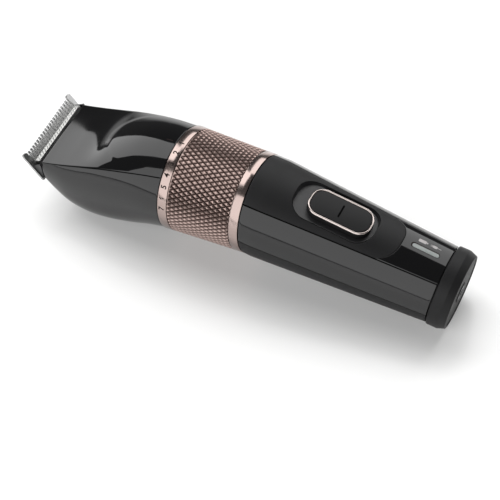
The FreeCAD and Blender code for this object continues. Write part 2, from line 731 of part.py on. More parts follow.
def display_panel():
    panel = handle_shell().common(spine_wedge()).cut(tongue_region(SEAM))
    panel = panel.common(box(40, HANDLE_LENGTH - SEAM, -FAR, FAR, 0, FAR))
    slot = plate(LED_FRONT - 0.1, LED_REAR + 0.1, 1.0, 0.9, 0, 40)
    slot.translate(V(0, LED_Y, 0))
    return placed(panel.cut(slot), HANDLE_FRAME)


def led_light_pipe():
    pipe = plate(LED_FRONT, LED_REAR, 0.9, 0.8, BOARD_Z + BOARD_THICK + 1.2, 40)
    pipe.translate(V(0, LED_Y, 0))
    return placed(pipe.common(handle_body(0.1)), HANDLE_FRAME)


def past_casings():
    return box(HANDLE_LENGTH - SEAM, 2 * FAR, -FAR, FAR, -FAR, FAR)


def side_panel(side):
    return placed(handle_shell().common(side_wedge(side)).cut(past_casings()), HANDLE_FRAME)


def back_shell():
    return placed(handle_shell().common(back_wedge()).cut(past_casings()), HANDLE_FRAME)


def end_cap():
    x0 = HANDLE_LENGTH
    x1 = x0 + CAP_BAND
    x2 = x0 + CAP_LENGTH
    lip = CAP_LIP_R
    outline = [(x0 - 2.4, lip - 1.2), (x0 - 2.4, lip), (x0 + 0.02, lip), (x0 + 0.02, CAP_R - 0.25),
               (x0 + 0.27, CAP_R), (x1, CAP_R), (x2, CAP_END_R), (x2, JACK_NOSE_R + 0.1),
               (x2 - CAP_WALL, JACK_NOSE_R + 0.1), (x2 - CAP_WALL, lip - 1.2)]
    return placed(turned(outline), HANDLE_FRAME).cut(below_floor())


# ---------------------------------------------------------------- switch (spine frame)
def switch_tray():
    """Dish that fills the recess, with a slot for the button's stem."""
    top = 3.0
    blank = recess_region(-0.08, -RECESS_DEPTH - TRAY_FLOOR, top)
    hollow = recess_region(-1.2, -RECESS_DEPTH, top + 1)
    flange = recess_region(0.9, -RECESS_DEPTH - TRAY_FLOOR, -RECESS_DEPTH - 0.1)
    slot = box(-SWITCH_TRAVEL - 2.1, 2.1, -1.3, 1.3, -9, 1)
    return cut_all(blank.cut(hollow).fuse(flange).removeSplitter(), [slot])


def whole_tray():
    """Tray with its rim trimmed to the spine's surface."""
    skin = placed(handle_body(0.15), HANDLE_FRAME)
    flange_room = placed(handle_body(WALL + 0.05), HANDLE_FRAME)
    opening = placed(recess_region(-0.05, -9, 9), SPINE_FRAME)
    tray = placed(switch_tray(), SPINE_FRAME)
    return tray.common(skin).common(flange_room.fuse(opening))


def button_plate(inset, z0, z1):
    half = BUTTON_LENGTH / 2 - inset
    return plate(-half, half, BUTTON_WIDTH / 2 - inset, BUTTON_CORNER - inset, z0, z1)


def switch_button():
    body = button_plate(0, -RECESS_DEPTH + 0.25, BUTTON_PROUD - 0.5)
    pad = button_plate(0.9, -1.5, BUTTON_PROUD - 0.05)
    stem = box(-1.2, 1.2, -1.0, 1.0, -RECESS_DEPTH - TRAY_FLOOR - 1.6, -1)
    mark = box(-0.3, 0.3, -3.3, 3.3, BUTTON_PROUD - 0.25, BUTTON_PROUD + 1)
    return joined([body, pad, stem]).cut(mark)


def switch_bezel():
    return button_plate(0, BUTTON_PROUD - 0.5, BUTTON_PROUD).cut(button_plate(0.9, -2, 2))


# ---------------------------------------------------------------- power and board (handle frame)
def battery_cell():
    body = rod(CELL_R, CELL_START, CELL_START + CELL_LENGTH, 0, CELL_Z)
    nub = rod(2.8, CELL_START - 0.8, CELL_START, 0, CELL_Z)
    return body.fuse(nub).removeSplitter()


def battery_contacts():
    front = wide_box(CELL_START - 1.3, CELL_START - 0.8, 4.2, CELL_Z - 4.5, BOARD_Z)
    end = CELL_START + CELL_LENGTH
    rear = wide_box(end, end + 0.5, 4.2, CELL_Z - 4.5, BOARD_Z)
    return Part.makeCompound([front, rear])


def battery_cradle():
    """Trough under the cell whose side walls carry the board."""
    x0 = CELL_START
    x1 = CELL_START + CELL_LENGTH
    inner = CELL_R + 0.2
    outer = inner + 0.9
    trough = rod(outer, x0, x1, 0, CELL_Z).cut(box(x0 - 1, x1 + 1, -FAR, FAR, CELL_Z, FAR))
    walls = side_boxes(x0, x1, inner, outer, CELL_Z - 0.1, BOARD_Z)
    bosses = [rod_up(1.5, BOARD_Z - 3.0, BOARD_Z, x, y) for x, y in BOARD_SCREWS]
    holes = [rod_up(0.6, BOARD_Z - 4, BOARD_Z + 1, x, y) for x, y in BOARD_SCREWS]
    body = joined([trough] + walls).cut(rod(inner, x0 - 1, x1 + 1, 0, CELL_Z))
    return cut_all(joined([body] + bosses), holes)


def circuit_board():
    board = wide_box(BOARD_START, BOARD_END, BOARD_WIDTH / 2, BOARD_Z, BOARD_Z + BOARD_THICK)
    holes = [rod_up(0.75, 0, 20, x, y) for x, y in BOARD_SCREWS]
    return cut_all(board, holes)


def board_screws():
    screws = []
    top = BOARD_Z + BOARD_THICK
    for x, y in BOARD_SCREWS:
        head = rod_up(1.1, top, top + 0.8, x, y)
        screws.append(head.fuse(rod_up(0.58, BOARD_Z - 2.8, top + 0.1, x, y)))
    return Part.makeCompound(screws)


def slide_switch():
    """Small switch on the board, with a notch that takes the button's stem."""
    top = crown(SWITCH_CENTRE) - RECESS_DEPTH - TRAY_FLOOR - 0.5
    body = wide_box(SWITCH_CENTRE - 8.0, SWITCH_CENTRE + 4.5, 3.2, BOARD_Z + BOARD_THICK, top)
    notch = wide_box(SWITCH_CENTRE - SWITCH_TRAVEL - 1.9, SWITCH_CENTRE + 1.9, 1.3, top - 1.6, top + 2)
    return body.cut(notch)


def indicator_leds():
    top = BOARD_Z + BOARD_THICK
    chips = [box(x - 0.8, x + 0.8, LED_Y - 0.6, LED_Y + 0.6, top, top + 0.7) for x in (66.5, 72.7)]
    return Part.makeCompound(chips)


def charging_socket():
    end = HANDLE_LENGTH + CAP_LENGTH
    body = wide_box(end - 13.0, end - CAP_WALL - 0.05, 4.5, -4.6, 5.4)
    nose = rod(JACK_NOSE_R, end - CAP_WALL - 0.1, end)
    return body.fuse(nose).removeSplitter().cut(rod(JACK_BORE, end - JACK_DEPTH, end + 1))


# ---------------------------------------------------------------- the whole clipper
def build():
    front_casing, rear_casing = head_casings()
    ring_parts = {
        "adjuster_ring": adjuster_ring(),
        "cam_sleeve": cam_sleeve(),
        "neck_tube": neck_tube(),
        "detent_plunger": detent_plunger(),
        "detent_spring": detent_spring(),
        "detent_clip": detent_clip(),
        "cam_follower": cam_follower(),
        "motor_can": motor_can(),
        "motor_end_bell": motor_end_bell(),
        "motor_bushes": motor_bushes(),
        "motor_magnets": motor_magnets(),
        "motor_shaft": motor_shaft(),
        "motor_armature": motor_armature(),
        "eccentric": eccentric(),
        "eccentric_pin": eccentric_pin(),
        "motor_bracket": motor_bracket(),
        "motor_screws": motor_screws(),
    }
    handle_parts = {
        "battery_cell": battery_cell(),
        "battery_contacts": battery_contacts(),
        "battery_cradle": battery_cradle(),
        "circuit_board": circuit_board(),
        "board_screws": board_screws(),
        "slide_switch": slide_switch(),
        "indicator_leds": indicator_leds(),
        "charging_socket": charging_socket(),
    }
    blade_parts = {
        "moving_blade": moving_blade(),
        "blade_spring": blade_spring(),
        "blade_screws": blade_screws(),
    }
    spine_parts = {
        "switch_button": switch_button(),
        "switch_bezel": switch_bezel(),
    }
    nodes = {
        "head_front_casing": front_casing,
        "head_rear_casing": rear_casing,
        "fixed_blade": fixed_blade(),
        "blade_bracket": blade_bracket(),
        "blade_guide": whole_guide(),
        "blade_driver": blade_driver(),
        "motor_wires": motor_wires(),
        "spine_panel": spine_panel(),
        "display_panel": display_panel(),
        "led_light_pipe": led_light_pipe(),
        "side_panel_left": side_panel(-1),
        "side_panel_right": side_panel(1),
        "back_shell": back_shell(),
        "end_cap": end_cap(),
        "switch_tray": whole_tray(),
    }
    groups = ((ring_parts, RING_FRAME), (handle_parts, HANDLE_FRAME),
              (blade_parts, BLADE_FRAME), (spine_parts, SPINE_FRAME))
    for group, frame in groups:
        for name, shape in group.items():
            nodes[name] = placed(shape, frame)
    return nodes


def export(nodes):
    for name, shape in nodes.items():
        shape.exportStep("parts/" + name + ".step")
        box_of = shape.BoundBox
        print("%-20s solids %d valid %s volume %9.1f  x %7.2f %7.2f  y %6.2f %6.2f  z %6.2f %6.2f" % (
            name, len(shape.Solids), shape.isValid(), shape.Volume,
            box_of.XMin, box_of.XMax, box_of.YMin, box_of.YMax, box_of.ZMin, box_of.ZMax))


export(build())
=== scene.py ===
import json
import math
from collections import namedtuple

import bmesh
import bpy
from mathutils import Matrix, Vector


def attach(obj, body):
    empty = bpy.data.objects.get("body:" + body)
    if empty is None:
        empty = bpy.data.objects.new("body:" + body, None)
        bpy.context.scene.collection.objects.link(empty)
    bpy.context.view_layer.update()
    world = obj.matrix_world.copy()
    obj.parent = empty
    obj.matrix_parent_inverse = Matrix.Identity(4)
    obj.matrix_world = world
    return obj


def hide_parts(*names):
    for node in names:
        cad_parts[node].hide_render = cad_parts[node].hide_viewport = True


# Cordless hair clipper on a pale glossy table, switch side up. Metres; MM turns millimetres into metres.
MM = 0.001

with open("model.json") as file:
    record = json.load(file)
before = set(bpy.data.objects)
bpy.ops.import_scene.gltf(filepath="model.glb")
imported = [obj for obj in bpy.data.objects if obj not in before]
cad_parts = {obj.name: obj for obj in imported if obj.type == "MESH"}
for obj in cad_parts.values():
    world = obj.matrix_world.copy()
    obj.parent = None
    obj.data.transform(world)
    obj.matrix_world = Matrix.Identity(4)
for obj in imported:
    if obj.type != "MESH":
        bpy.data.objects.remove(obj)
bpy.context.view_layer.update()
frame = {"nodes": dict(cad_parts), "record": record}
nodes = frame["nodes"]

# ---------------------------------------------------------------- driving dimensions, in millimetres
CENTRE = Vector((-28.728, 0.0, 26.2))      # middle of the ring's front edge
RING_TILT = -1.3
RING_LENGTH = 35.4
RING_R_FRONT = 22.0
RING_R_REAR = 20.8
RING_BORE = 19.9
FLANGE_FRONT = 4.0
FLANGE_REAR = 3.9
RING_GAP = 0.3
REAR_GAP = 0.4

HANDLE_TILT = 7.2
HANDLE_LENGTH = 79.6
HANDLE_R_FRONT = 21.1
HANDLE_R_REAR = 16.0
SHOULDER_R = 20.7
SHOULDER_LENGTH = 5.0
SPINE_FLAT = 0.5
CREASE_FRONT = 40.5
CREASE_REAR = 35.1
LOW_SEAM_FRONT = 87.0
LOW_SEAM_REAR = 90.0
WALL = 1.8

TONGUE_END = 59.9
TONGUE_CORNER = 9.4
TONGUE_HALF = 10.8

CAP_BAND = 4.6
CAP_LENGTH = 7.7
CAP_R = 16.55
CAP_END_R = 15.5
NOSE_R = 3.3

SWITCH_CENTRE = 33.7
RECESS_LENGTH = 34.8
RECESS_WIDTH = 18.0
RECESS_CENTRE = -1.9
RECESS_DEPTH = 3.0
RECESS_CORNER = 7.4
BUTTON_LENGTH = 26.9
BUTTON_WIDTH = 13.0
BUTTON_CORNER = 5.6
BUTTON_PROUD = 0.5

MOUTH_X = -57.9
SEAM_ANGLE = 42.6
STEP_X = -34.0             # where the soft step on the lid crosses the middle line
STEP_BOW = 0.062
STEP_HEIGHT = 0.16
STEP_RUN = 3.0
STEP_FADE_X = -27.0        # from here the step sinks back into the crown
STEP_FADE_RUN = 22.0
STEP_HALF = 11.0
STEP_SIDE_RUN = 5.0
MARK_X = -3.65
MARK_Y = 0.5
MARK_LENGTH = 3.2
MARK_WIDTH = 0.35

KNURL_AROUND = 66
KNURL_ROWS = 14
KNURL_HEIGHT = 0.55
KNURL_SINK = 0.06          # the pyramids' tops lie this far below the flanges
GROOVE_FLOOR = 0.66
NUMERAL_SIZE = 3.3
NUMERAL_STEP = 360.0 / 28
NUMERAL_TURN = 1.3

PANEL_GAP = 0.28           # half the line between two handle panels, in degrees
COVER_END = HANDLE_LENGTH - 0.5
JOINT_SHARE = 0.985        # share of the way to a joint at which a panel stops
TONGUE_GAP = 0.16
CAP_INNER_R = 12.3
CAP_PLUG_R = 13.5
CAP_PLUG_LENGTH = 2.4
RIM_WIDTH = 0.95
TABLE_GAP = 0.02           # nothing reaches lower than this above the table
MIDDLE_HEIGHT = 22.0

# Head outline from the ring to the mouth: place along the ring's axis, then half width, height of the
# widest point, half width and height of the seam, crown, belly, and squareness of the belly.
Outline = namedtuple("Outline", "half mid seam_y seam_z top belly square")
HEAD_STATIONS = (
    (-RING_GAP, 21.7, 0.0, 14.7, 16.0, 21.7, -21.7, 2.0),
    (-9.0, 21.7, -1.2, 15.6, 14.9, 20.6, -23.0, 2.2),
    (-18.0, 21.6, -3.2, 16.2, 13.0, 18.2, -24.4, 2.6),
    (-29.0, 21.5, -5.8, 16.5, 10.1, 13.2, -25.6, 3.0),
    (-38.0, 21.2, -7.6, 16.6, 7.2, 7.8, -26.2, 3.0),
    (-47.0, 20.4, -8.2, 16.9, 4.2, 4.5, -24.2, 2.9),
    (-54.0, 19.0, -7.0, 17.1, 2.1, 2.3, -18.6, 2.8),
    (-59.4, 17.9, -4.5, 17.2, 0.7, 0.9, -9.8, 2.8),
)


# ---------------------------------------------------------------- frames
def along(tilt):
    return Vector((math.cos(math.radians(tilt)), 0, -math.sin(math.radians(tilt))))


def frame_at(origin, tilt):
    return Matrix.Translation(origin) @ Matrix.Rotation(math.radians(tilt), 4, "Y")


def handle_radius(x):
    return HANDLE_R_FRONT + (HANDLE_R_REAR - HANDLE_R_FRONT) * x / HANDLE_LENGTH


RING = frame_at(CENTRE, RING_TILT)
HANDLE = frame_at(CENTRE + along(RING_TILT) * RING_LENGTH, HANDLE_TILT)
TAPER = math.degrees(math.atan2(HANDLE_R_FRONT - HANDLE_R_REAR, HANDLE_LENGTH))
CROWN = handle_radius(SWITCH_CENTRE) - SPINE_FLAT
SPINE = HANDLE @ frame_at(Vector((SWITCH_CENTRE, 0, CROWN)), TAPER)
SPINE_BACK = SPINE.inverted()
HANDLE_FROM_RING = HANDLE.inverted() @ RING


# ---------------------------------------------------------------- shader maths
class Wire:
    """A shader value that can be written as a sum: it wraps one output socket of a material."""

    def __init__(self, tree, socket):
        self.tree = tree
        self.socket = socket

    def node(self, kind, settings=None, **inputs):
        """Adds any other node: its type, its settings, then its inputs by socket name."""
        made = self.tree.nodes.new(kind)
        for key, value in (settings or {}).items():
            setattr(made, key, value)
        for key, value in inputs.items():
            self.feed(made.inputs[key.replace("_", " ")], value)
        return made

    def feed(self, socket, value):
        if isinstance(value, Wire):
            self.tree.links.new(value.socket, socket)
        else:
            socket.default_value = value

    def maths(self, operation, *values):
        made = self.tree.nodes.new("ShaderNodeMath")
        made.operation = operation
        for k, value in enumerate(values):
            self.feed(made.inputs[k], value)
        return Wire(self.tree, made.outputs[0])

    def __add__(self, other):
        return self.maths("ADD", self, other)

    __radd__ = __add__

    def __sub__(self, other):
        return self.maths("SUBTRACT", self, other)

    def __rsub__(self, other):
        return self.maths("SUBTRACT", other, self)

    def __mul__(self, other):
        return self.maths("MULTIPLY", self, other)

    __rmul__ = __mul__

    def ramp(self, low, high, to_low, to_high):
        made = self.tree.nodes.new("ShaderNodeMapRange")
        self.feed(made.inputs[0], self)
        for k, value in enumerate((low, high, to_low, to_high)):
            made.inputs[k + 1].default_value = value
        return Wire(self.tree, made.outputs[0])

    def mix(self, dark, light):
        """Colour between dark and light as this value goes from 0 to 1."""
        made = self.tree.nodes.new("ShaderNodeMix")
        made.data_type = "RGBA"
        self.feed(made.inputs[0], self)
        made.inputs[6].default_value = dark + (1.0,)
        made.inputs[7].default_value = light + (1.0,)
        return Wire(self.tree, made.outputs[2])


class Finish:
    """A new material with its shader, and the place of each point in metres."""

    def __init__(self, name, **constants):
        self.material = bpy.data.materials.new(name)
        self.material.use_nodes = True
        self.tree = self.material.node_tree
        self.shader = self.tree.nodes["Principled BSDF"]
        for key, value in constants.items():
            socket = self.shader.inputs[key.replace("_", " ")]
            socket.default_value = value + (1.0,) if isinstance(value, tuple) else value
        where = self.tree.nodes.new("ShaderNodeTexCoord")
        self.place = Wire(self.tree, where.outputs["Object"])

    def noise(self, scale, detail=2.0, stretch=(1, 1, 1)):
        spread = self.place.node("ShaderNodeMapping", {"vector_type": "POINT"}, Vector=self.place)
        spread.inputs["Scale"].default_value = stretch
        made = self.place.node("ShaderNodeTexNoise", {}, Vector=Wire(self.tree, spread.outputs[0]))
        made.inputs["Scale"].default_value = scale
        made.inputs["Detail"].default_value = detail
        return Wire(self.tree, made.outputs[0])

    def distance(self):
        """Distance of each point from the piece's own origin."""
        made = self.place.node("ShaderNodeVectorMath", {"operation": "LENGTH"})
        self.place.feed(made.inputs[0], self.place)
        return Wire(self.tree, made.outputs["Value"])

    def attribute(self, name):
        """A number stored at each corner point of the piece."""
        made = self.place.node("ShaderNodeAttribute", {"attribute_name": name})
        return Wire(self.tree, made.outputs["Fac"])

    def set(self, **wires):
        for key, value in wires.items():
            self.place.feed(self.shader.inputs[key.replace("_", " ")], value)
        return self

    def rough(self, cloud, middle, spread):
        """Roughness that wanders by spread either side of middle."""
        return self.set(Roughness=middle + (cloud.ramp(0.3, 0.7, 0.0, 2.0) - 1.0) * spread)

    def bump(self, height, strength, distance):
        made = self.place.node("ShaderNodeBump", {}, Height=height, Strength=strength, Distance=distance)
        return self.set(Normal=Wire(self.tree, made.outputs[0]))


def gloss_black():
    made = Finish("piano black", Base_Color=(0.0035, 0.0035, 0.0038), IOR=1.5, Specular_IOR_Level=0.5)
    haze = made.noise(60.0, 3.0)
    return made.set(Roughness=haze.ramp(0.35, 0.75, 0.035, 0.075)).material


def soft_black():
    made = Finish("soft touch", Specular_IOR_Level=0.22)
    grain = made.noise(2600.0, 2.0)
    cloud = made.noise(45.0, 3.0)
    made.set(Base_Color=cloud.mix((0.006, 0.006, 0.0064), (0.009, 0.009, 0.0094)))
    return made.rough(cloud, 0.50, 0.04).bump(grain, 0.06, 0.0001).material


def rose_gold(name, low, high, rough):
    made = Finish(name, Metallic=1.0)
    cloud = made.noise(220.0, 3.0)
    made.set(Base_Color=cloud.mix(low, high))
    return made.rough(cloud, rough, 0.05).material


def knurl_gold_with_painted_shade():
    """Rose gold with painted shade: its colour darkens towards the bottom of the grooves."""
    made = Finish("knurled rose gold with painted groove shade", Metallic=1.0)
    height = made.attribute("height")
    # Painted shade: the colour runs from near black at the groove bottoms to bright rose gold on the
    # pyramid tops.
    bright = height.ramp(0.05, 0.85, 0.0, 1.0)
    made.set(Base_Color=bright.mix((0.030, 0.016, 0.013), (0.40, 0.30, 0.272)))
    return made.set(Roughness=0.50 - 0.24 * height).material


def steel(name, low, high, rough):
    made = Finish(name, Metallic=1.0)
    grind = made.noise(900.0, 3.0, (1.0, 0.06, 1.0))
    made.set(Base_Color=grind.mix(low, high))
    return made.rough(grind, rough, 0.07).bump(grind, 0.08, 0.0001).material


def plain(name, low, high, rough, metallic=0.0, specular=0.5):
    made = Finish(name, Metallic=metallic, Specular_IOR_Level=specular)
    cloud = made.noise(300.0, 3.0)
    made.set(Base_Color=cloud.mix(low, high))
    return made.rough(cloud, rough, 0.05).material


FINISHES = {
    "gloss_black": gloss_black(),
    "soft_black": soft_black(),
    "rose_gold": rose_gold("rose gold", (0.37, 0.292, 0.268), (0.41, 0.325, 0.30), 0.17),
    "bright_trim": rose_gold("rose silver trim", (0.50, 0.44, 0.415), (0.55, 0.485, 0.46), 0.20),
    "blade_steel": steel("ground blade steel", (0.62, 0.62, 0.61), (0.78, 0.78, 0.77), 0.30),
    "plain_steel": steel("drawn steel", (0.42, 0.42, 0.43), (0.52, 0.52, 0.53), 0.30),
    "inner_black": plain("moulded black", (0.012, 0.012, 0.013), (0.018, 0.018, 0.019), 0.38),
    "inner_white": plain("white acetal", (0.66, 0.66, 0.64), (0.74, 0.74, 0.72), 0.35),
    "copper": plain("copper", (0.55, 0.24, 0.13), (0.66, 0.30, 0.17), 0.30, 1.0),
    "bronze": plain("sintered bronze", (0.42, 0.26, 0.11), (0.50, 0.32, 0.15), 0.42, 1.0),
    "nickel": plain("nickel plate", (0.56, 0.55, 0.52), (0.64, 0.63, 0.60), 0.22, 1.0),
    "magnet": plain("ferrite", (0.03, 0.03, 0.032), (0.05, 0.05, 0.052), 0.62),
    "cell_wrap": plain("cell wrap", (0.02, 0.10, 0.30), (0.03, 0.13, 0.36), 0.28),
    "board_green": plain("solder mask", (0.004, 0.06, 0.02), (0.006, 0.09, 0.03), 0.30),
    "light_guide": plain("frosted light strip", (0.17, 0.19, 0.185), (0.25, 0.27, 0.262), 0.30),
    "red_lead": plain("red lead", (0.35, 0.01, 0.01), (0.45, 0.02, 0.015), 0.45),
}
# Dark paint for the numerals and the index tick. Laid under the light strip, the same finish is painted
# shade of the strip's slot.
INK_AND_SLOT_SHADE = plain("dark numeral paint and painted slot shade", (0.010, 0.006, 0.005), (0.016, 0.010, 0.009), 0.75, specular=0.12)
# Near-black finish with almost no gloss: painted shade of a groove.
GROOVE_SHADE_BLACK = plain("painted groove shade black", (0.0005, 0.0005, 0.0005), (0.001, 0.001, 0.001), 0.85, specular=0.03)
KNURL_GOLD_WITH_PAINTED_SHADE = knurl_gold_with_painted_shade()
PRINT = plain("pale print", (0.30, 0.28, 0.28), (0.40, 0.38, 0.38), 0.40)
COMB_STEEL = steel("dark comb steel", (0.34, 0.34, 0.34), (0.46, 0.46, 0.46), 0.32)


# ---------------------------------------------------------------- making pieces
def finished(bm, name, body, slot, finish=None, stands_for=(), smooth=40.0):
    """Turns a bmesh in millimetres into a piece of the clipper."""
    bmesh.ops.remove_doubles(bm, verts=bm.verts, dist=0.002)
    bmesh.ops.recalc_face_normals(bm, faces=bm.faces)
    bmesh.ops.scale(bm, vec=(MM, MM, MM), verts=bm.verts)
    mesh = bpy.data.meshes.new(name)
    bm.to_mesh(mesh)
    bm.free()
    piece = bpy.data.objects.new(name, mesh)
    bpy.context.scene.collection.objects.link(piece)
    mesh.materials.append(finish or FINISHES[slot])
    mesh.shade_smooth()
    mesh.set_sharp_from_angle(angle=math.radians(smooth))
    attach(piece, body)
    if stands_for:
        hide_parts(*stands_for)
    return piece


def sheet_of(place, across, down, edge):
    """Grid whose points are put in place by place(u, v), u and v from 0 to 1, given a wall inwards."""
    bm = bmesh.new()
    bmesh.ops.create_grid(bm, x_segments=across, y_segments=down, size=0.5)
    for vert in bm.verts:
        vert.co = place(vert.co.x + 0.5, vert.co.y + 0.5)
    bmesh.ops.recalc_face_normals(bm, faces=bm.faces)
    thicken(bm, edge)
    return bm


def thicken(bm, edge):
    """Gives a sheet a wall on the side away from its normals and rounds its outer rim."""
    rim = [e for e in bm.edges if e.is_boundary]
    outward(bm)
    bmesh.ops.solidify(bm, geom=list(bm.faces), thickness=WALL)
    rim = [e for e in rim if e.is_valid]
    bmesh.ops.bevel(bm, geom=rim, offset=edge, segments=2, profile=0.5, affect="EDGES", material=-1,
                    offset_type="OFFSET", clamp_overlap=True)


def outward(bm):
    """Turns the faces of an open sheet away from the clipper's middle line."""
    total = 0.0
    for face in bm.faces:
        spot = face.calc_center_median()
        away = Vector((0.0, spot.y, spot.z - MIDDLE_HEIGHT))
        total += face.normal.dot(away) * face.calc_area()
    if total < 0:
        bmesh.ops.reverse_faces(bm, faces=bm.faces)


def spun(points, steps, matrix):
    """Solid turned about the x axis of matrix from a closed outline of (x, radius) points."""
    bm = bmesh.new()
    made = [bm.verts.new((x, 0.0, r)) for x, r in points]
    edges = [bm.edges.new((made[k], made[(k + 1) % len(made)])) for k in range(len(made))]
    bmesh.ops.spin(bm, geom=made + edges, cent=(0, 0, 0), axis=(1, 0, 0), angle=2 * math.pi,
                   steps=steps, use_merge=True, use_duplicate=False)
    bmesh.ops.transform(bm, matrix=matrix, verts=bm.verts)
    return bm


def round_plate(half_x, half_y, corner, z0, z1, rim, steps):
    """Upright plate with round corners and a rounded upper rim, centred on its own origin."""
    bm = bmesh.new()
    count = 4 * steps
    bmesh.ops.create_circle(bm, cap_ends=True, radius=1.0, segments=count)
    bm.verts.ensure_lookup_table()
    for k, vert in enumerate(list(bm.verts)):
        quarter = k // steps
        turn = math.pi / 2 * (quarter + (k % steps) / (steps - 1))
        centre_x = (half_x - corner) * (1 if quarter in (0, 3) else -1)
        centre_y = (half_y - corner) * (1 if quarter in (0, 1) else -1)
        vert.co = Vector((centre_x + corner * math.cos(turn), centre_y + corner * math.sin(turn), z0))
    top = bmesh.ops.extrude_face_region(bm, geom=list(bm.faces))
    lifted = [g for g in top["geom"] if isinstance(g, bmesh.types.BMVert)]
    bmesh.ops.translate(bm, vec=(0, 0, z1 - z0), verts=lifted)
    if rim:
        upper = set(lifted)
        rims = [e for e in bm.edges if e.verts[0] in upper and e.verts[1] in upper]
        bmesh.ops.bevel(bm, geom=rims, offset=rim, segments=3, profile=0.5, affect="EDGES", material=-1,
                        offset_type="OFFSET")
    return bm


def joined_into(target, *others):
    """Adds other bmeshes to target."""
    for other in others:
        spare = bpy.data.meshes.new("spare")
        other.to_mesh(spare)
        target.from_mesh(spare)
        bpy.data.meshes.remove(spare)
        other.free()
    return target


# ---------------------------------------------------------------- head
def head_at(x):
    """Outline at any place along the head, on a smooth curve through the stations."""
    rows = HEAD_STATIONS
    k = 0
    while k < len(rows) - 2 and x < rows[k + 1][0]:
        k += 1
    a = rows[max(k - 1, 0)]
    b = rows[k]
    c = rows[k + 1]
    d = rows[min(k + 2, len(rows) - 1)]
    span = c[0] - b[0]
    t = (x - b[0]) / span
    values = []
    for i in range(1, len(b)):
        slope_b = (c[i] - a[i]) / (c[0] - a[0]) * span
        slope_c = (d[i] - b[i]) / (d[0] - b[0]) * span
        values.append((2 * t ** 3 - 3 * t * t + 1) * b[i] + (t ** 3 - 2 * t * t + t) * slope_b
                      + (3 * t * t - 2 * t ** 3) * c[i] + (t ** 3 - t * t) * slope_c)
    return Outline(*values)


def mouth_x(z):
    """Place along the ring's axis of the head's upright front edge."""
    return MOUTH_X / math.cos(math.radians(RING_TILT)) + math.tan(math.radians(RING_TILT)) * z


def eased(t):
    """Smooth rise from 0 to 1 as t does the same."""
    t = max(0.0, min(1.0, t))
    return t * t * (3 - 2 * t)


def soft_step(x, y):
    """Rise from the flat front facet onto the round-ended crown, fading out towards the ring and sides."""
    front = eased((x - STEP_X - STEP_BOW * y * y) / STEP_RUN)
    back = 1 - eased((x - STEP_FADE_X) / STEP_FADE_RUN)
    return STEP_HEIGHT * front * back * (1 - eased((abs(y) - STEP_HALF) / STEP_SIDE_RUN))


def lid_point(u, v):
    """Front of the head: u from the ring to the mouth, v from the near seam to the far one."""
    x = -RING_GAP + (mouth_x(1.0) + RING_GAP) * u
    here = head_at(x)
    seam = math.radians(SEAM_ANGLE)
    a = seam * (2 * v - 1) * JOINT_SHARE
    rise = (math.cos(a) - math.cos(seam)) / (1 - math.cos(seam))
    y = here.seam_y * math.sin(a) / math.sin(seam)
    return RING @ Vector((x, y, here.seam_z + (here.top - here.seam_z) * rise + soft_step(x, y)))


def belly_point(u, v):
    """Sides and belly: u from the ring to the mouth, v from the near seam under to the far one."""
    side = -1 if v < 0.5 else 1
    share = 1 - abs(2 * v - 1)
    seam = math.radians(SEAM_ANGLE)
    upper = 0.30             # share of the way round that lies above the widest line
    x = -RING_GAP + (MOUTH_X + 0.1 + RING_GAP) * u
    here = head_at(x)
    bulge = math.log(here.seam_y / here.half) / math.log(math.sin(seam))
    if share < upper:
        a = seam + (math.pi / 2 - seam) * share / upper
        y = here.half * math.sin(a) ** bulge
        z = here.mid + (here.seam_z - here.mid) * math.cos(a) / math.cos(seam)
    else:
        a = math.pi / 2 * (share - upper) / (1 - upper)
        y = here.half * max(math.cos(a), 0.0) ** (2 / here.square)
        z = here.mid + (here.belly - here.mid) * math.sin(a) ** (2 / here.square)
    spot = RING @ Vector((x, side * y, z))
    spot.z = max(spot.z, TABLE_GAP)
    return spot


def head():
    lid = sheet_of(lid_point, 90, 60, 0.18)
    finished(lid, "head_lid", "clipper_body", "gloss_black", stands_for=["head_front_casing"])
    belly = sheet_of(belly_point, 90, 160, 0.18)
    finished(belly, "head_belly", "clipper_body", "gloss_black", stands_for=["head_rear_casing"])
    tick = bmesh.new()
    bmesh.ops.create_grid(tick, x_segments=6, y_segments=2, size=0.5)
    for vert in tick.verts:
        x = MARK_X + vert.co.x * MARK_LENGTH
        vert.co = RING @ Vector((x, MARK_Y + vert.co.y * MARK_WIDTH, head_at(x).top + 0.012))
    finished(tick, "index_mark", "clipper_body", "inner_black", INK_AND_SLOT_SHADE)


# ---------------------------------------------------------------- adjuster ring
def ring_radius(x):
    return RING_R_FRONT + (RING_R_REAR - RING_R_FRONT) * x / RING_LENGTH


def ring():
    first = FLANGE_FRONT
    last = RING_LENGTH - FLANGE_REAR
    points = [
        (0.0, RING_BORE), (0.0, ring_radius(0) - 0.35), (0.1, ring_radius(0) - 0.1),
        (0.35, ring_radius(0.35)),
        (first - 0.3, ring_radius(first)), (first - 0.08, ring_radius(first) - 0.08),
        (first, ring_radius(first) - 0.3), (first, ring_radius(first) - GROOVE_FLOOR),
        (last, ring_radius(last) - GROOVE_FLOOR), (last, ring_radius(last) - 0.3),
        (last + 0.08, ring_radius(last) - 0.08), (last + 0.3, ring_radius(last)),
        (RING_LENGTH - 0.35, ring_radius(RING_LENGTH)), (RING_LENGTH - 0.1, ring_radius(RING_LENGTH) - 0.1),
        (RING_LENGTH, ring_radius(RING_LENGTH) - 0.35), (RING_LENGTH, RING_BORE),
    ]
    body = spun(points, 192, RING)
    finished(body, "adjuster_ring_body", "ring", "rose_gold", stands_for=["adjuster_ring"])
    grip = knurl(first + 0.35, last - 0.35)
    # The knurl's colour carries painted shade at the bottom of its grooves.
    finished(grip, "adjuster_ring_knurl", "ring", "rose_gold", KNURL_GOLD_WITH_PAINTED_SHADE, smooth=12.0)
    numerals()


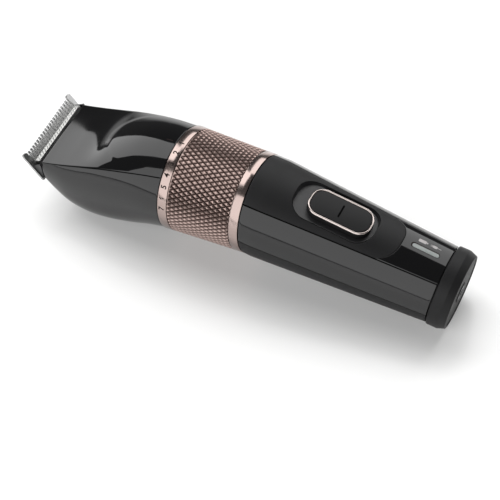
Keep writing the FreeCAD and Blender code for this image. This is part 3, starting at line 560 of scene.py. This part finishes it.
def knurl(first, last):
    """Staggered pyramids with blunt tops that cover the ring's middle."""
    bm = bmesh.new()
    pitch = (last - first) / KNURL_ROWS * 2
    step = 2 * math.pi / KNURL_AROUND
    height = bm.verts.layers.float.new("height")
    for row in range(KNURL_ROWS + 1):
        for k in range(KNURL_AROUND):
            middle_x = first + row * pitch / 2
            middle_a = (k + 0.5 * (row % 2)) * step
            made = bmesh.ops.create_cone(bm, cap_ends=True, cap_tris=False, segments=4, radius1=1.0,
                                         radius2=0.20, depth=1.0)
            for vert in made["verts"]:
                x = middle_x + vert.co.x * pitch / 2
                a = middle_a + vert.co.y * step / 2
                r = ring_radius(x) - KNURL_SINK - KNURL_HEIGHT * (0.5 - vert.co.z)
                vert[height] = vert.co.z + 0.5
                vert.co = Vector((x, r * math.sin(a), r * math.cos(a)))
    floor = [f for f in bm.faces if len(f.verts) == 4 and is_floor(f)]
    bmesh.ops.delete(bm, geom=floor, context="FACES_ONLY")
    for place, keep in ((first, 1), (last, -1)):
        bmesh.ops.bisect_plane(bm, geom=list(bm.verts) + list(bm.edges) + list(bm.faces),
                               plane_co=(place, 0, 0), plane_no=(-keep, 0, 0), clear_outer=True)
    bmesh.ops.transform(bm, matrix=RING, verts=bm.verts)
    return bm


def is_floor(face):
    """True for a pyramid's underside: every corner lies at the bottom of the grooves."""
    for vert in face.verts:
        r = math.hypot(vert.co.y, vert.co.z)
        if r > ring_radius(vert.co.x) - KNURL_SINK - KNURL_HEIGHT * 0.9:
            return False
    return True


def numerals():
    """Painted numerals 1 to 7 round the front flange, with their tops towards the head."""
    for k in range(7):
        words = bpy.data.curves.new("numeral", "FONT")
        words.body = str(k + 1)
        words.size = NUMERAL_SIZE
        words.align_x = "CENTER"
        words.align_y = "CENTER"
        words.extrude = 0.0
        words.offset = 0.075
        spare = bpy.data.objects.new("numeral", words)
        bpy.context.scene.collection.objects.link(spare)
        bpy.context.view_layer.update()
        drawn = spare.evaluated_get(bpy.context.evaluated_depsgraph_get())
        mesh = bpy.data.meshes.new_from_object(drawn)
        bm = bmesh.new()
        bm.from_mesh(mesh)
        bpy.data.objects.remove(spare)
        bpy.data.meshes.remove(mesh)
        middle = math.radians(NUMERAL_TURN - NUMERAL_STEP * k)
        x0 = FLANGE_FRONT / 2 + 0.05
        for vert in bm.verts:
            x = x0 - vert.co.y
            a = middle + vert.co.x / RING_R_FRONT
            r = ring_radius(x) + 0.015
            vert.co = RING @ Vector((x, r * math.sin(a), r * math.cos(a)))
        finished(bm, "numeral_%d" % (k + 1), "ring", "rose_gold", INK_AND_SLOT_SHADE)


# ---------------------------------------------------------------- handle
def crease(x):
    return math.radians(CREASE_FRONT + (CREASE_REAR - CREASE_FRONT) * x / HANDLE_LENGTH)


def low_seam(x):
    return math.radians(LOW_SEAM_FRONT + (LOW_SEAM_REAR - LOW_SEAM_FRONT) * x / HANDLE_LENGTH)


def arc_point(r, flat, edge, a):
    """Point at angle a on a spine arc whose crown lies flat below the round, or on the round past it."""
    if abs(a) >= edge:
        return r * math.sin(a), r * math.cos(a)
    half = r * math.sin(edge)
    rise = (r - flat) - r * math.cos(edge)
    big = (half * half + rise * rise) / (2 * rise)
    turn = math.asin(half / big) * a / edge
    return big * math.sin(turn), (r - flat) - big + big * math.cos(turn)


def handle_spot(x, a, inset=0.0):
    """Point of the handle's surface, in the handle frame, x from the ring and a from the crown."""
    start = SHOULDER_LENGTH
    y, z = arc_point(handle_radius(max(x, start)) - inset, SPINE_FLAT, crease(max(x, start)), a)
    spot = Vector((max(x, start), y, z))
    if x < start:
        r = SHOULDER_R - inset
        front = HANDLE_FROM_RING @ Vector((RING_LENGTH + REAR_GAP, r * math.sin(a), r * math.cos(a)))
        share = max(x, 0.0) / start
        spot = front.lerp(spot, share)
    return spot


def angle_at(x, y):
    """Angle from the crown of the spine point that lies y across."""
    r = handle_radius(max(x, SHOULDER_LENGTH))
    edge = crease(max(x, SHOULDER_LENGTH))
    return edge * max(-1.0, min(1.0, y / (r * math.sin(edge))))


def side_point(side):
    """Place function of one side panel, between the crease and the low seam."""
    gap = math.radians(PANEL_GAP)

    def place(u, v):
        x = COVER_END * u
        a = crease(x) + gap + (low_seam(x) - crease(x) - 2 * gap) * v
        return HANDLE @ handle_spot(x, side * a)
    return place


def back_point(u, v):
    x = COVER_END * u
    start = low_seam(x) + math.radians(PANEL_GAP)
    spot = HANDLE @ handle_spot(x, start + 2 * (math.pi - start) * v)
    spot.z = max(spot.z, TABLE_GAP)
    return spot


def tongue_x(y, grow):
    """Place of the tongue's end at y across."""
    corner = TONGUE_CORNER
    flat = TONGUE_HALF - corner
    past = abs(y) - flat
    base = TONGUE_END + grow - corner
    if past <= 0:
        return base + corner
    return base + math.sqrt(max(corner * corner - past * past, 0.0))


def tongue_place(share, grow):
    """Place of the tongue's end along the line at that share of the way to the crease."""
    x = TONGUE_END
    for _ in range(12):
        y = handle_radius(x) * math.sin(crease(x)) * share
        x = 0.5 * x + 0.5 * tongue_x(y, grow)
    return x


def display_point(u, v):
    share = (2 * v - 1) * JOINT_SHARE
    start = tongue_place(share, TONGUE_GAP)
    x = start + (COVER_END - start) * u
    return HANDLE @ handle_spot(x, crease(x) * share)


def recess_outline(turn, grow):
    """Point of the recess rim in the direction turn from its middle, in the spine frame's plan."""
    half_x = RECESS_LENGTH / 2 + grow
    half_y = RECESS_WIDTH / 2 + grow
    corner = RECESS_CORNER + grow
    c, s = math.cos(turn), math.sin(turn)
    reach = min(half_x / max(abs(c), 1e-9), half_y / max(abs(s), 1e-9))
    px, py = abs(c) * reach, abs(s) * reach
    cx, cy = half_x - corner, half_y - corner
    if px > cx and py > cy:
        b = abs(c) * cx + abs(s) * cy
        root = b * b - (cx * cx + cy * cy - corner * corner)
        reach = b + math.sqrt(max(root, 0.0))
    return c * reach, s * reach


def spine_outline():
    """Outline of the spine in plan as (place, share of the way to the crease), from the tongue round."""
    points = []
    count = 90
    last = JOINT_SHARE
    for k in range(count):
        share = -last + 2 * last * k / count
        points.append((tongue_place(share, 0.0), share))
    side = tongue_place(last, 0.0)
    for k in range(60):
        points.append((side * (1 - k / 60), last))
    for k in range(40):
        points.append((0.0, last - 2 * last * k / 40))
    for k in range(60):
        points.append((side * k / 60, -last))
    return points


def spine():
    outline = spine_outline()
    middle_x = SWITCH_CENTRE + RECESS_CENTRE
    rings = 26
    count = len(outline)
    flat = []
    for x, share in outline:
        r = handle_radius(max(x, SHOULDER_LENGTH))
        flat.append((x, r * math.sin(crease(max(x, SHOULDER_LENGTH))) * share))
    bm = bmesh.new()
    bmesh.ops.create_grid(bm, x_segments=count, y_segments=rings, size=0.5)
    for vert in bm.verts:
        k = round((vert.co.x + 0.5) * count) % count
        t = vert.co.y + 0.5
        far_x, far_y = flat[k]
        near_x, near_y = recess_outline(math.atan2(far_y, far_x - middle_x), 0.0)
        x = (middle_x + near_x) * (1 - t) + far_x * t
        y = near_y * (1 - t) + far_y * t
        vert.co = HANDLE @ handle_spot(x, angle_at(x, y))
    bmesh.ops.remove_doubles(bm, verts=bm.verts, dist=0.002)
    thicken(bm, 0.2)
    finished(bm, "spine_cover", "clipper_body", "soft_black", stands_for=["spine_panel"])


def strip_on_panel(length, half, middle_x, middle_y, lift):
    """Flat bar with round ends laid on the display panel."""
    bm = round_plate(length / 2, half, half * 0.98, 0.0, 0.12, 0.04, 8)
    drape(bm, middle_x, middle_y, lift)
    return bm


def drape(bm, middle_x, middle_y, lift):
    """Lays a flat shape, drawn about its own origin, on the panel."""
    for vert in bm.verts:
        x = middle_x + vert.co.x
        y = middle_y + vert.co.y
        base = handle_spot(x, angle_at(x, y))
        vert.co = HANDLE @ (base + Vector((0.0, 0.0, lift + vert.co.z)))


def icon(name, pieces, middle_x, middle_y):
    """Printed sign built from round-cornered bars: half length, half width, place and corner of each."""
    whole = bmesh.new()
    for half_x, half_y, at_x, at_y, corner in pieces:
        one = round_plate(half_x, half_y, corner, 0.0, 0.02, 0.0, 4)
        bmesh.ops.translate(one, vec=(at_x, at_y, 0.0), verts=one.verts)
        joined_into(whole, one)
    drape(whole, middle_x, middle_y, 0.01)
    finished(whole, name, "clipper_body", "light_guide", PRINT)


def display():
    bm = sheet_of(display_point, 60, 60, 0.15)
    finished(bm, "display_cover", "clipper_body", "gloss_black", stands_for=["display_panel"])
    # Dark plate under the light strip, reaching further on its far side: painted shade of the slot the
    # strip sits in.
    rim = strip_on_panel(12.0, 1.12, 69.3, 1.0, 0.0)
    finished(rim, "light_strip_slot_shade", "clipper_body", "inner_black", INK_AND_SLOT_SHADE)
    strip = strip_on_panel(11.2, 0.86, 69.5, 0.8, 0.06)
    finished(strip, "light_strip", "clipper_body", "light_guide", stands_for=["led_light_pipe"])
    icon("battery_icon", [(1.6, 0.75, 0, 0, 0.2), (0.25, 0.35, 2.0, 0, 0.1)], 66.8, 4.2)
    icon("plug_icon", [(1.0, 0.65, 0, 0, 0.5), (0.5, 0.12, -1.4, 0.3, 0.08), (0.5, 0.12, -1.4, -0.3, 0.08),
                       (0.9, 0.12, 1.8, 0, 0.08)], 72.0, 4.2)


def handle():
    for side, name in ((-1, "left"), (1, "right")):
        bm = sheet_of(side_point(side), 80, 40, 0.15)
        stands_for = ["side_panel_" + name]
        finished(bm, "side_cover_" + name, "clipper_body", "gloss_black", stands_for=stands_for)
    bm = sheet_of(back_point, 80, 110, 0.15)
    finished(bm, "back_cover", "clipper_body", "soft_black", stands_for=["back_shell"])


# ---------------------------------------------------------------- tail cap
def cap():
    x0 = HANDLE_LENGTH
    x1 = x0 + CAP_BAND
    x2 = x0 + CAP_LENGTH
    points = [
        (x0 - CAP_PLUG_LENGTH, CAP_INNER_R), (x0 - CAP_PLUG_LENGTH, CAP_PLUG_R),
        (x0 + 0.05, CAP_PLUG_R), (x0 + 0.05, CAP_R - 0.3), (x0 + 0.12, CAP_R - 0.1),
        (x0 + 0.3, CAP_R), (x1, CAP_R), (x2 - 0.25, CAP_END_R),
        (x2 - 0.07, CAP_END_R - 0.07), (x2, CAP_END_R - 0.25), (x2, CAP_END_R - 1.0),
        (x2 - 0.35, CAP_END_R - 1.2), (x2 - 0.35, NOSE_R + 1.2), (x2, NOSE_R + 1.0), (x2, NOSE_R),
        (x2 - 1.8, NOSE_R), (x2 - 1.8, CAP_INNER_R),
    ]
    bm = spun(points, 160, HANDLE)
    for vert in bm.verts:
        vert.co.z = max(vert.co.z, TABLE_GAP)
    finished(bm, "tail_cap", "clipper_body", "soft_black", stands_for=["end_cap"], smooth=9.0)


# ---------------------------------------------------------------- switch
def lifted_onto_spine(bm):
    bmesh.ops.transform(bm, matrix=SPINE, verts=bm.verts)
    return bm


def switch():
    floor = round_plate(RECESS_LENGTH / 2 + 0.6, RECESS_WIDTH / 2 + 0.6, RECESS_CORNER + 0.6,
                        -RECESS_DEPTH - 1.0, -RECESS_DEPTH, 0.0, 16)
    bmesh.ops.translate(floor, vec=(RECESS_CENTRE, 0, 0), verts=floor.verts)
    wall = tray_wall()
    tray = joined_into(lifted_onto_spine(floor), wall)
    finished(tray, "switch_dish", "clipper_body", "inner_black", stands_for=["switch_tray"])

    body = round_plate(BUTTON_LENGTH / 2, BUTTON_WIDTH / 2, BUTTON_CORNER,
                       -RECESS_DEPTH + 0.25, -0.05, 0.15, 16)
    pad = round_plate(BUTTON_LENGTH / 2 - RIM_WIDTH, BUTTON_WIDTH / 2 - RIM_WIDTH,
                      BUTTON_CORNER - RIM_WIDTH, -0.6, BUTTON_PROUD - 0.1, 0.3, 16)
    finished(lifted_onto_spine(joined_into(body, pad)), "switch_pad", "switch", "soft_black",
             stands_for=["switch_button"])
    # The mark is an indented line. This near-black bar, sitting just proud of the pad, is painted shade of
    # its groove.
    mark = round_plate(0.36, 3.0, 0.34, BUTTON_PROUD - 0.11, BUTTON_PROUD - 0.06, 0.0, 6)
    finished(lifted_onto_spine(mark), "switch_mark", "switch", "inner_black", GROOVE_SHADE_BLACK)
    finished(bezel(), "switch_rim", "switch", "bright_trim", stands_for=["switch_bezel"])


def tray_wall():
    """Upright wall round the recess, up to the spine's surface."""
    count = 96
    bm = bmesh.new()
    bmesh.ops.create_grid(bm, x_segments=count, y_segments=6, size=0.5)
    for vert in bm.verts:
        turn = 2 * math.pi * (vert.co.x + 0.5)
        t = vert.co.y + 0.5
        px, py = recess_outline(turn, -0.05 - 0.35 * (1 - t))
        x = SWITCH_CENTRE + RECESS_CENTRE + px
        top = SPINE_BACK @ (HANDLE @ handle_spot(x, angle_at(x, py)))
        z = -RECESS_DEPTH * (1 - t) + (top.z - 0.12) * t
        vert.co = SPINE @ Vector((RECESS_CENTRE + px, py, z))
    bmesh.ops.remove_doubles(bm, verts=bm.verts, dist=0.002)
    return bm


def bezel():
    """Bright rim round the pad, half round on top."""
    outer = 16
    width = RIM_WIDTH - 0.05
    rows = 9
    count = 4 * outer
    bm = bmesh.new()
    bmesh.ops.create_grid(bm, x_segments=count, y_segments=rows, size=0.5)
    for vert in bm.verts:
        k = round((vert.co.x + 0.5) * count) % count
        t = vert.co.y + 0.5
        inset = width * t
        quarter = k // outer
        turn = math.pi / 2 * (quarter + (k % outer) / (outer - 1))
        corner = BUTTON_CORNER - inset
        centre_x = (BUTTON_LENGTH / 2 - BUTTON_CORNER) * (1 if quarter in (0, 3) else -1)
        centre_y = (BUTTON_WIDTH / 2 - BUTTON_CORNER) * (1 if quarter in (0, 1) else -1)
        height = BUTTON_PROUD - 0.45 * (1 - math.sin(math.pi * t) ** 0.7)
        x = centre_x + corner * math.cos(turn)
        y = centre_y + corner * math.sin(turn)
        vert.co = SPINE @ Vector((x, y, height))
    bmesh.ops.remove_doubles(bm, verts=bm.verts, dist=0.002)
    return bm


# ---------------------------------------------------------------- carried-over pieces
def dress_cad():
    """Gives every CAD node its own finish; the comb is given a darker steel colour than the cutter."""
    slots = {part["node"]: part["material_slot"] for part in frame["record"]["subparts"]}
    for name, node in nodes.items():
        node.data.materials.clear()
        node.data.materials.append(FINISHES[slots[name]])
    nodes["fixed_blade"].data.materials[0] = COMB_STEEL


# ---------------------------------------------------------------- table, light and camera
def soft_box(name, place, facing, level, wide, tall, radiance):
    """Flat wall of light that the camera itself does not see; level is the direction of its wide side."""
    lamp = bpy.data.lights.new(name, "AREA")
    lamp.shape = "RECTANGLE"
    lamp.size = wide
    lamp.size_y = tall
    lamp.energy = 4.0 * wide * tall * radiance
    holder = bpy.data.objects.new(name, lamp)
    bpy.context.scene.collection.objects.link(holder)
    back = -Vector(facing).normalized()
    side = Vector(level)
    side = (side - back * side.dot(back)).normalized()
    turned = Matrix((side, back.cross(side), back)).transposed().to_4x4()
    holder.matrix_world = Matrix.Translation(place) @ turned
    holder.visible_camera = False
    return holder


def table():
    """Pale glossy table with a painted pool of light: pale and faintly glowing near the clipper, darker far
    from it, so that its reflections there stay dark.
    """
    bm = bmesh.new()
    bmesh.ops.create_grid(bm, x_segments=1, y_segments=1, size=3.0)
    mesh = bpy.data.meshes.new("table")
    bm.to_mesh(mesh)
    bm.free()
    top = bpy.data.objects.new("table", mesh)
    bpy.context.scene.collection.objects.link(top)
    # Painted light: the table glows faintly, though it is no lamp.
    made = Finish("pale table with painted light pool", Specular_IOR_Level=0.5, Emission_Strength=0.03)
    # Painted light pool: colour and glow fade from pale near the clipper to dark grey far away.
    far = made.distance().ramp(0.24, 0.70, 0.0, 1.0)
    cloud = made.noise(6.0, 2.0)
    made.set(Base_Color=far.mix((0.89, 0.89, 0.885), (0.26, 0.26, 0.26)))
    made.set(Emission_Color=far.mix((1.0, 1.0, 1.0), (0.05, 0.05, 0.05)))
    made.rough(cloud, 0.20, 0.04)
    mesh.materials.append(made.material)


def studio():
    """Soft boxes behind the head, beyond, in front and low at the tail, and a fill that gives no glints."""
    world = bpy.data.worlds.new("studio")
    world.use_nodes = True
    world.node_tree.nodes["Background"].inputs["Color"].default_value = (1.0, 1.0, 1.0, 1.0)
    world.node_tree.nodes["Background"].inputs["Strength"].default_value = 0.10
    bpy.context.scene.world = world
    bpy.context.scene.view_settings.view_transform = "Standard"
    over = Vector((-0.638, 0.223, 0.737))
    wide = Vector((0.287, 0.956, -0.042))
    down = over.cross(wide)
    middle = over * 1.2 + Vector((-0.03, 0.0, 0.03))
    soft_box("back soft box", middle - wide * 0.03 + down * 0.27, -over, wide, 0.69, 1.84, 1.9)
    high = Vector((-0.06, 0.66, 0.75))
    low = Vector((0.12, 0.165, -0.145))
    soft_box("far soft box", high * 1.3 + low, -high, (1.0, 0.0, 0.0), 1.06, 1.35, 1.8)
    soft_box("front soft box", (-0.20, -1.00, 0.83), (0.0, 1.0, 0.0), (1.0, 0.0, 0.0), 2.3, 1.62, 1.45)
    fill = soft_box("fill light", (-0.45, 0.75, 1.25), (0.3, -0.5, -0.8), (1.0, 0.0, 0.0), 1.9, 1.2, 1.1)
    fill.visible_glossy = False
    side = Vector((0.87, 0.49, 0.16))
    soft_box("side soft box", side, -side, (-0.49, 0.87, 0.0), 0.9, 0.44, 1.3)


def camera():
    turn, lift, roll = (math.radians(a) for a in (32.53, 54.32, -6.89))
    back = Vector((math.sin(turn) * math.cos(lift), -math.cos(turn) * math.cos(lift), math.sin(lift)))
    level = Vector((math.cos(turn), math.sin(turn), 0.0))
    upright = back.cross(level)
    right = math.cos(roll) * level + math.sin(roll) * upright
    up = back.cross(right)
    lens = bpy.data.cameras.new("camera")
    lens.sensor_width = 36.0
    lens.lens = 116.25
    lens.clip_start = 0.05
    lens.clip_end = 10.0
    eye = bpy.data.objects.new("camera", lens)
    bpy.context.scene.collection.objects.link(eye)
    turned = Matrix((right, up, back)).transposed().to_4x4()
    eye.matrix_world = Matrix.Translation((0.2118, -0.3339, 0.5421)) @ turned
    bpy.context.scene.camera = eye


dress_cad()
head()
ring()
handle()
spine()
display()
cap()
switch()
table()
studio()
camera()
